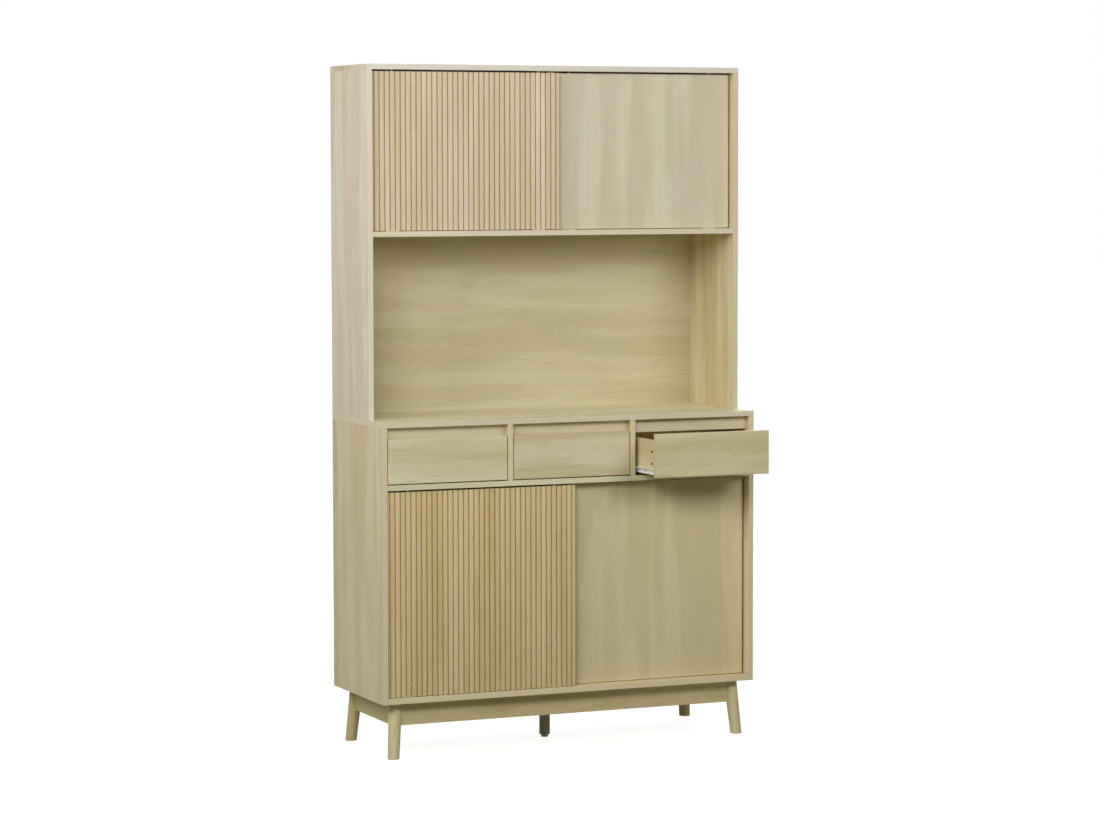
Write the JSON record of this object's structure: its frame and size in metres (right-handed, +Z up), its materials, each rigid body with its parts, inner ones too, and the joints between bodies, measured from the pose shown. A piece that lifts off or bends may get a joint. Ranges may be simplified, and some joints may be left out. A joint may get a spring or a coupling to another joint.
{
  "type": "dresser with hutch",
  "caption": "Tall pale oak dresser on splayed legs: drawers over fluted and plain sliding doors, and a hutch with an open niche under more sliding doors.",
  "frame": {"origin": "middle of the sole of the centre leg's glide on the floor, under the middle of the base", "axes": "+Z up, the front with its doors and drawers faces -Y, +X is to the right seen from the front"},
  "size_m": [1.2, 0.558, 2.019],
  "materials": {
    "drawer_base": "thin fibreboard, printed",
    "fluted_oak": "veneered and lacquered flutes",
    "nylon": "moulded",
    "oak_back": "pale oak decor, grain across",
    "oak_board": "pale oak decor, satin",
    "oak_door": "pale oak decor, grain upright",
    "oak_drawer": "pale oak decor, satin",
    "oak_front": "pale oak decor, grain across",
    "oak_solid": "clear lacquered wood",
    "white_plastic": "moulded",
    "white_steel": "white epoxy powder coat"
  },
  "bodies": {
    "cabinet": {"apron_front": "oak_solid", "apron_rear": "oak_solid", "aprons_side": "oak_solid", "base_back": "oak_back", "base_bottom": "oak_board", "base_partition": "oak_board", "base_shelf_left": "oak_board", "base_shelf_right": "oak_board", "base_side_left": "oak_board", "base_side_right": "oak_board", "base_top": "oak_board", "cabinet_runners": "white_steel", "drawer_deck": "oak_board", "drawer_divider_left": "oak_board", "drawer_divider_right": "oak_board", "grip_rail_left": "oak_board", "grip_rail_middle": "oak_board", "grip_rail_right": "oak_board", "hutch_floor": "oak_board", "hutch_niche_back": "oak_back", "hutch_partition": "oak_board", "hutch_side_left": "oak_board", "hutch_side_right": "oak_board", "hutch_top": "oak_board", "hutch_upper_back": "oak_back", "leg_centre": "oak_solid", "leg_centre_glide": "white_plastic", "legs_front": "oak_solid", "legs_rear": "oak_solid"},
    "lower_left_door": {"lower_left_door_guides": "white_plastic", "lower_left_door_panel": "fluted_oak"},
    "lower_right_door": {"lower_right_door_guides": "white_plastic", "lower_right_door_panel": "oak_door"},
    "upper_left_door": {"upper_left_door_guides": "white_plastic", "upper_left_door_panel": "fluted_oak"},
    "upper_right_door": {"upper_right_door_guides": "white_plastic", "upper_right_door_panel": "oak_door"},
    "left_drawer": {"left_drawer_back": "oak_drawer", "left_drawer_bottom": "drawer_base", "left_drawer_front": "oak_front", "left_drawer_members": "white_steel", "left_drawer_sides": "oak_drawer"},
    "left_rear_rollers": {"left_drawer_rear_rollers": "nylon"},
    "left_front_rollers": {"left_bay_front_rollers": "nylon"},
    "middle_drawer": {"middle_drawer_back": "oak_drawer", "middle_drawer_bottom": "drawer_base", "middle_drawer_front": "oak_front", "middle_drawer_members": "white_steel", "middle_drawer_sides": "oak_drawer"},
    "middle_rear_rollers": {"middle_drawer_rear_rollers": "nylon"},
    "middle_front_rollers": {"middle_bay_front_rollers": "nylon"},
    "right_drawer": {"right_drawer_back": "oak_drawer", "right_drawer_bottom": "drawer_base", "right_drawer_front": "oak_front", "right_drawer_members": "white_steel", "right_drawer_sides": "oak_drawer"},
    "right_rear_rollers": {"right_drawer_rear_rollers": "nylon"},
    "right_front_rollers": {"right_bay_front_rollers": "nylon"}
  },
  "joints": [
    {"name": "lower_left_door_slide", "type": "slide", "parent": "cabinet", "child": "lower_left_door", "axis": [1, 0, 0], "range_m": [0, 0.572]},
    {"name": "lower_right_door_slide", "type": "slide", "parent": "cabinet", "child": "lower_right_door", "axis": [1, 0, 0], "range_m": [-0.5695, 0]},
    {"name": "upper_left_door_slide", "type": "slide", "parent": "cabinet", "child": "upper_left_door", "axis": [1, 0, 0], "range_m": [0, 0.572]},
    {"name": "upper_right_door_slide", "type": "slide", "parent": "cabinet", "child": "upper_right_door", "axis": [1, 0, 0], "range_m": [-0.5695, 0]},
    {"name": "left_drawer_slide", "type": "slide", "parent": "cabinet", "child": "left_drawer", "axis": [0, -1, 0], "range_m": [0, 0.25]},
    {"name": "middle_drawer_slide", "type": "slide", "parent": "cabinet", "child": "middle_drawer", "axis": [0, -1, 0], "range_m": [0, 0.25]},
    {"name": "right_drawer_slide", "type": "slide", "parent": "cabinet", "child": "right_drawer", "axis": [0, -1, 0], "range_m": [-0.138, 0.112]},
    {"name": "left_front_rollers_spin", "type": "hinge", "parent": "cabinet", "child": "left_front_rollers", "pos_m": [-0.39467, -0.18, 0.8203], "axis": [1, 0, 0], "continuous": true},
    {"name": "left_rear_rollers_spin", "type": "hinge", "parent": "left_drawer", "child": "left_rear_rollers", "pos_m": [-0.39467, 0.144, 0.8172], "axis": [1, 0, 0], "continuous": true},
    {"name": "middle_front_rollers_spin", "type": "hinge", "parent": "cabinet", "child": "middle_front_rollers", "pos_m": [0, -0.18, 0.8203], "axis": [1, 0, 0], "continuous": true},
    {"name": "middle_rear_rollers_spin", "type": "hinge", "parent": "middle_drawer", "child": "middle_rear_rollers", "pos_m": [0, 0.144, 0.8172], "axis": [1, 0, 0], "continuous": true},
    {"name": "right_front_rollers_spin", "type": "hinge", "parent": "cabinet", "child": "right_front_rollers", "pos_m": [0.39467, -0.18, 0.8203], "axis": [1, 0, 0], "continuous": true},
    {"name": "right_rear_rollers_spin", "type": "hinge", "parent": "right_drawer", "child": "right_rear_rollers", "pos_m": [0.39467, 0.006, 0.8172], "axis": [1, 0, 0], "continuous": true}
  ],
  "couplings": [
    {"joint": "left_front_rollers_spin", "follows": "left_drawer_slide", "rad_per_m": 138.89},
    {"joint": "left_rear_rollers_spin", "follows": "left_drawer_slide", "rad_per_m": 138.89},
    {"joint": "middle_front_rollers_spin", "follows": "middle_drawer_slide", "rad_per_m": 138.89},
    {"joint": "middle_rear_rollers_spin", "follows": "middle_drawer_slide", "rad_per_m": 138.89},
    {"joint": "right_front_rollers_spin", "follows": "right_drawer_slide", "rad_per_m": 138.89},
    {"joint": "right_rear_rollers_spin", "follows": "right_drawer_slide", "rad_per_m": 138.89}
  ]
}
